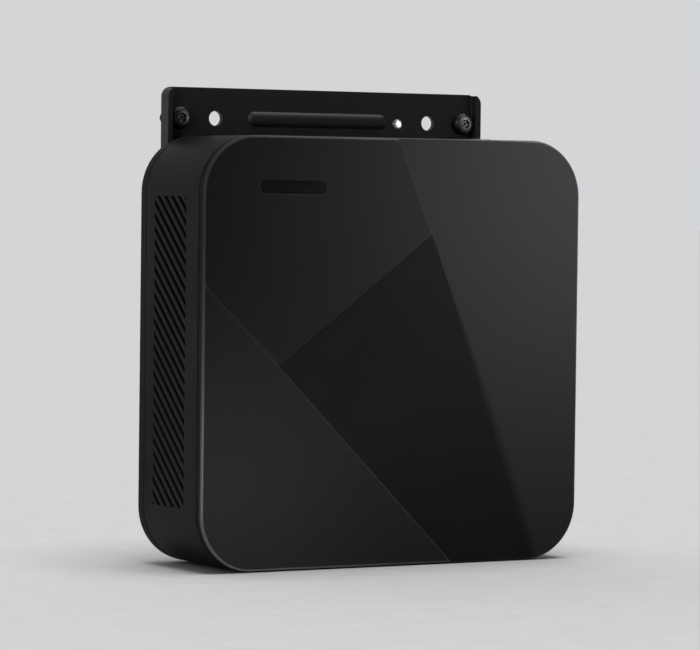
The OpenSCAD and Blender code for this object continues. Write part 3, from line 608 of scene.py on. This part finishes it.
def lighting(ground):
    """Soft overhead light, two keys on the right facet, a low fill and three rim lights."""
    bpy.context.scene.view_settings.view_transform = "Standard"
    sky(0.68, 0.08)
    sun = bpy.data.lights.new("overhead", "SUN")
    sun.energy, sun.angle = 1.95, math.radians(40)
    lamp = bpy.data.objects.new("overhead", sun)
    lamp.rotation_euler = (0.1, 0.05, 0)
    bpy.context.scene.collection.objects.link(lamp)
    right = (0.06, -0.046, 0.02)
    plate = NODES["vesa_bracket"]
    shield(light("key_high", (0.16, -0.2, 0.14), 0.08, 0.18, aim=right), ground, plate)
    shield(light("key_side", (0.3, -0.3, 0.03), 0.1, 0.135, aim=right), ground, plate)
    shield(light("low", (-0.08, -0.19, -0.072), 0.06, 0.09, aim=(-0.05, -0.046, -0.07)), ground)
    shield(light("rim_left", (-1.03, -0.6, 0.3), 0.14, 0.5, tall=0.8, spread=30), ground)
    shield(light("rim_top", (0.6, -0.05, 1.1), 0.3, 0.2, spread=30), ground)
    shield(light("rim_right", (1.1, 0.62, 0.3), 0.2, 0.5, tall=0.7, spread=30), ground)


camera()
lighting(floor())


# ------------------------------------------------------------------ pieces

HEAD_R, SEAT_DEPTH = 0.0035, 0.0025        # screw head: radius, and height over its seat
THREAD_PITCH, THREAD_CORE, THREAD_CREST = 0.0007, 0.00166, 0.002
BOLT_REACH = 0.05                          # half the display's bolt square


def screw_body(piece, centre, head_y, seat_y, tip_y):
    """Pan head with a hollow for the driver, shank and tip."""
    piece.turned([(0, head_y + 0.0009), (0.0011, head_y + 0.00075),
                  (0.00135, head_y), (0.0022, head_y + 0.0001), (0.0029, head_y + 0.0005),
                  (0.0034, head_y + 0.0012), (HEAD_R, head_y + 0.0019),
                  (HEAD_R, seat_y), (THREAD_CORE, seat_y), (THREAD_CORE, tip_y - 0.0003),
                  (0.0012, tip_y), (0, tip_y)], centre, (0, 1, 0), 40)


def screw_cross(piece, centre, head_y):
    """Two crossed bars in the head's hollow."""
    for turn in (20, 110):
        made = bmesh.ops.create_cube(piece.bm, size=1.0)["verts"]
        place = (Matrix.Translation(centre + Vector((0, head_y + 0.0006, 0)))
                 @ Matrix.Rotation(math.radians(turn), 4, "Y")
                 @ Matrix.Diagonal((0.0042, 0.0002, 0.0007, 1)))
        bmesh.ops.transform(piece.bm, matrix=place, verts=made)


def screw_thread(piece, centre, first_y, last_y):
    """Helical ridge that fades in and out over its first and last turn."""
    steps = 24
    turns = int((last_y - first_y) / THREAD_PITCH)
    rings = []
    for i in range(turns * steps + 1):
        angle = 2 * math.pi * i / steps
        y = first_y + THREAD_PITCH * i / steps
        fade = min(1.0, i / steps, (turns * steps - i) / steps)
        crest = THREAD_CORE + (THREAD_CREST - THREAD_CORE) * max(0.05, fade)
        root = THREAD_CORE * 0.97
        out = Vector((math.cos(angle), 0, math.sin(angle)))
        corners = ((root, -0.42), (crest, -0.07), (crest, 0.07), (root, 0.42))
        rings.append([piece.bm.verts.new(centre + out * r + Vector((0, y + THREAD_PITCH * k, 0)))
                      for r, k in corners])
    piece.strip(rings)


def screws():
    """Four pan-head machine screws with rolled threads and a cross recess."""
    piece = Piece()
    lo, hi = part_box("vesa_screws")
    head_y, tip_y = lo[1], hi[1]
    seat_y = head_y + SEAT_DEPTH
    for sx in (-1, 1):
        for sz in (-1, 1):
            centre = Vector((sx * BOLT_REACH, 0, sz * BOLT_REACH))
            screw_body(piece, centre, head_y, seat_y, tip_y)
            screw_cross(piece, centre, head_y)
            screw_thread(piece, centre, seat_y + 0.0018, tip_y - 0.0009)
    piece.done("machine_screws", SLOTS["black_steel"], "bracket", "black_steel", smooth=True,
               replaces=("vesa_screws",))


def dust_screens():
    """Fine woven screens in frames, behind the side vents."""
    screen_x, spacing = 62.3, 1.5
    uprights, rows = 62, 14
    piece = Piece()
    for side in (-1, 1):
        x = side * screen_x
        for i in range(uprights):
            y = -45.8 + i * spacing
            piece.block((x - 0.14, x + 0.14), (y - 0.12, y + 0.12), (9.6, 30.4))
        for k in range(rows):
            z = 10.1 + k * spacing
            piece.block((x - 0.1, x + 0.1), (-46.2, 46.2), (z - 0.12, z + 0.12))
        for y in (-46.5, 46.5):
            piece.block((x - 0.2, x + 0.2), (y - 0.7, y + 0.7), (9.2, 30.8))
        for z in (9.4, 30.6):
            piece.block((x - 0.2, x + 0.2), (-47, 47), (z - 0.5, z + 0.5))
    piece.done("dust_screens", SCREEN, "computer")


REAR_Y = -62.8         # the rear sheet, on the lying computer in millimetres


def contact_row(piece, middle, count, spacing, half, y, z):
    """Row of flat contacts along X, between two depths and two heights."""
    for i in range(count):
        x = middle + (i - (count - 1) / 2) * spacing
        piece.block((x - half, x + half), y, z)


def contacts():
    """Gold contacts in the sockets."""
    piece = Piece()
    for i in range(8):                                  # network socket: springs and their bends
        x = 5.5 + (i - 3.5) * 1.02
        piece.block((x - 0.2, x + 0.2), (REAR_Y + 3.5, REAR_Y + 12.5), (21.2, 21.5))
        piece.block((x - 0.2, x + 0.2), (REAR_Y + 2.6, REAR_Y + 3.6), (21.25, 21.9))
    for middle in (22.2, 38.2):                         # rear stacks of two USB sockets
        for tongue_z in (14.1, 22.0):
            contact_row(piece, middle, 4, 2.4, 0.5, (REAR_Y + 2.2, REAR_Y + 10),
                        (tongue_z + 0.12, tongue_z + 0.22))
    for middle in (14, 28.8):                           # front USB sockets
        contact_row(piece, middle, 4, 2.4, 0.5, (52.5, 60.5), (14.16, 14.26))
    contact_row(piece, -29.2, 19, 0.5, 0.14, (REAR_Y + 2.6, REAR_Y + 9), (13.93, 14.02))
    contact_row(piece, -12.2, 20, 0.5, 0.14, (REAR_Y + 2.6, REAR_Y + 10), (13.32, 13.42))
    for z in (13.1, 13.87):                             # both faces of the small front socket
        contact_row(piece, 0.8, 12, 0.5, 0.12, (55.5, 60.6), (z, z + 0.05))
    piece.done("socket_contacts", GOLD, "computer")


def small_parts():
    """Surface-mounted parts on the face of the board, between the big ones."""
    rng = random.Random(7)
    most_parts, tries, reach, board_z = 230, 1500, 56, 11.02
    sizes = ((1.0, 0.5, 0.4), (1.6, 0.8, 0.6), (2.0, 1.3, 0.9), (0.6, 0.3, 0.3),
             (3.0, 3.0, 0.8), (5.0, 4.0, 0.9))
    # Rectangles under the big parts: lowest and highest X, then Y.
    taken = [(-52, 8, -30, 30), (8, 48, -14, 26), (7, 51, -31, -13), (-62, 33, 28, 38),
             (-48, 48, -61, -41), (-22, 20, 36, 42), (38, 54, 25, 45), (-47, -19, 41, 59),
             (-14, -5, 47, 59), (-4, 6, 51, 59), (6, 37, 47, 59), (36, 48, 48, 59),
             (-63, -51, -30, 30), (8, 16, 24, 30), (-61, -47, 32, 59), (47, 61, 32, 59),
             (-61, -47, -59, -32), (50, 61, -59, -32)]
    ceramic, dark = Piece(), Piece()
    placed = []
    for _ in range(tries):
        w, d, h = rng.choice(sizes)
        if rng.random() < 0.5:
            w, d = d, w
        x, y = rng.uniform(-reach, reach), rng.uniform(-reach, reach)
        x, y = round(x * 2) / 2, round(y * 2) / 2
        if any(a - w < x < b + w and c - d < y < e + d for a, b, c, e in taken):
            continue
        if any(abs(x - p) < (w + r) / 2 + 0.3 and abs(y - q) < (d + s) / 2 + 0.3
               for p, q, r, s in placed):
            continue
        placed.append((x, y, w, d))
        target = dark if w * d > 4 or rng.random() < 0.4 else ceramic
        target.block((x - w / 2, x + w / 2), (y - d / 2, y + d / 2), (board_z, board_z + h))
        if len(placed) > most_parts:
            break
    ceramic.done("ceramic_parts", plastic("ceramic_tan", (0.35, 0.24, 0.14), 0.4, 4000, 0.02, 0.4,
                                          0.0001, 0.0), "computer")
    dark.done("small_chips", SLOTS["chip_black"], "computer", "chip_black")


def power_mark():
    """The plain on/off sign, printed on the button's cap."""
    piece = Piece()
    top = unit(42, 63.95, 18)
    inner, outer = 0.00155, 0.00185
    sunk, proud = -0.00005, 0.00002
    gap, steps = 40, 40                    # degrees from the stroke to each end of the arc
    rings = []
    for i in range(steps + 1):
        angle = math.radians(gap + (360 - 2 * gap) * i / steps)
        out = Vector((math.sin(angle), -math.cos(angle), 0))
        rings.append([piece.bm.verts.new(top + out * r + Vector((0, 0, h)))
                      for r, h in ((inner, sunk), (outer, sunk), (outer, proud), (inner, proud))])
    piece.strip(rings)
    piece.block((41.85, 42.15), (63.88, 63.97), (18.7, 20.4))
    piece.done("power_mark", MARK, "button")


screws()
dust_screens()
contacts()
small_parts()
power_mark()
